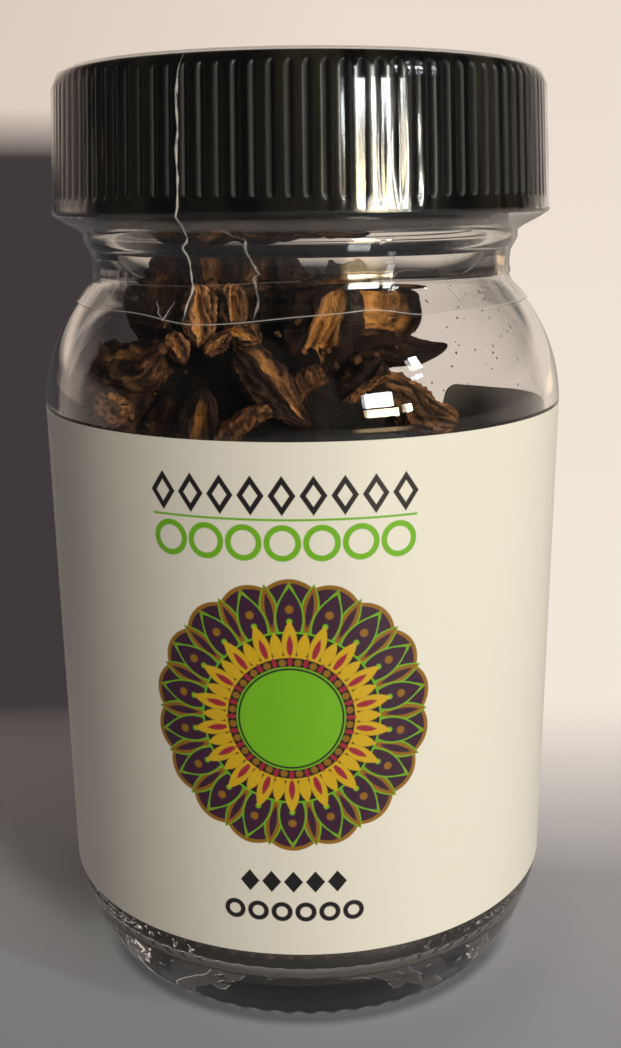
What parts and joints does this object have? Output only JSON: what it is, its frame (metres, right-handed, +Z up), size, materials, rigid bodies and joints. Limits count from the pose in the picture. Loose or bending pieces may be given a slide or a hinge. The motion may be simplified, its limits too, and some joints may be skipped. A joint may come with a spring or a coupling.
{
  "type": "jar of star anise",
  "caption": "Clear round glass spice jar with a ribbed black screw cap, a clear shrink seal and a wrap-round paper label, filled with broken star anise pods.",
  "frame": {"origin": "centre of the ring that the jar stands on, on the ground", "axes": "+Z up along the jar's axis, -Y towards the middle of the label"},
  "size_m": [0.0518, 0.0518, 0.09],
  "materials": {
    "glass": "clear, smooth",
    "cap": "glossy black",
    "film": "clear shrunk film",
    "paper": "coated, off-white with coloured print",
    "pods": "dry, rough, red-brown"
  },
  "bodies": {
    "root": {"jar": "glass", "screw_cap": "cap", "shrink_seal": "film", "label": "paper", "star_anise": "pods"}
  },
  "joints": []
}
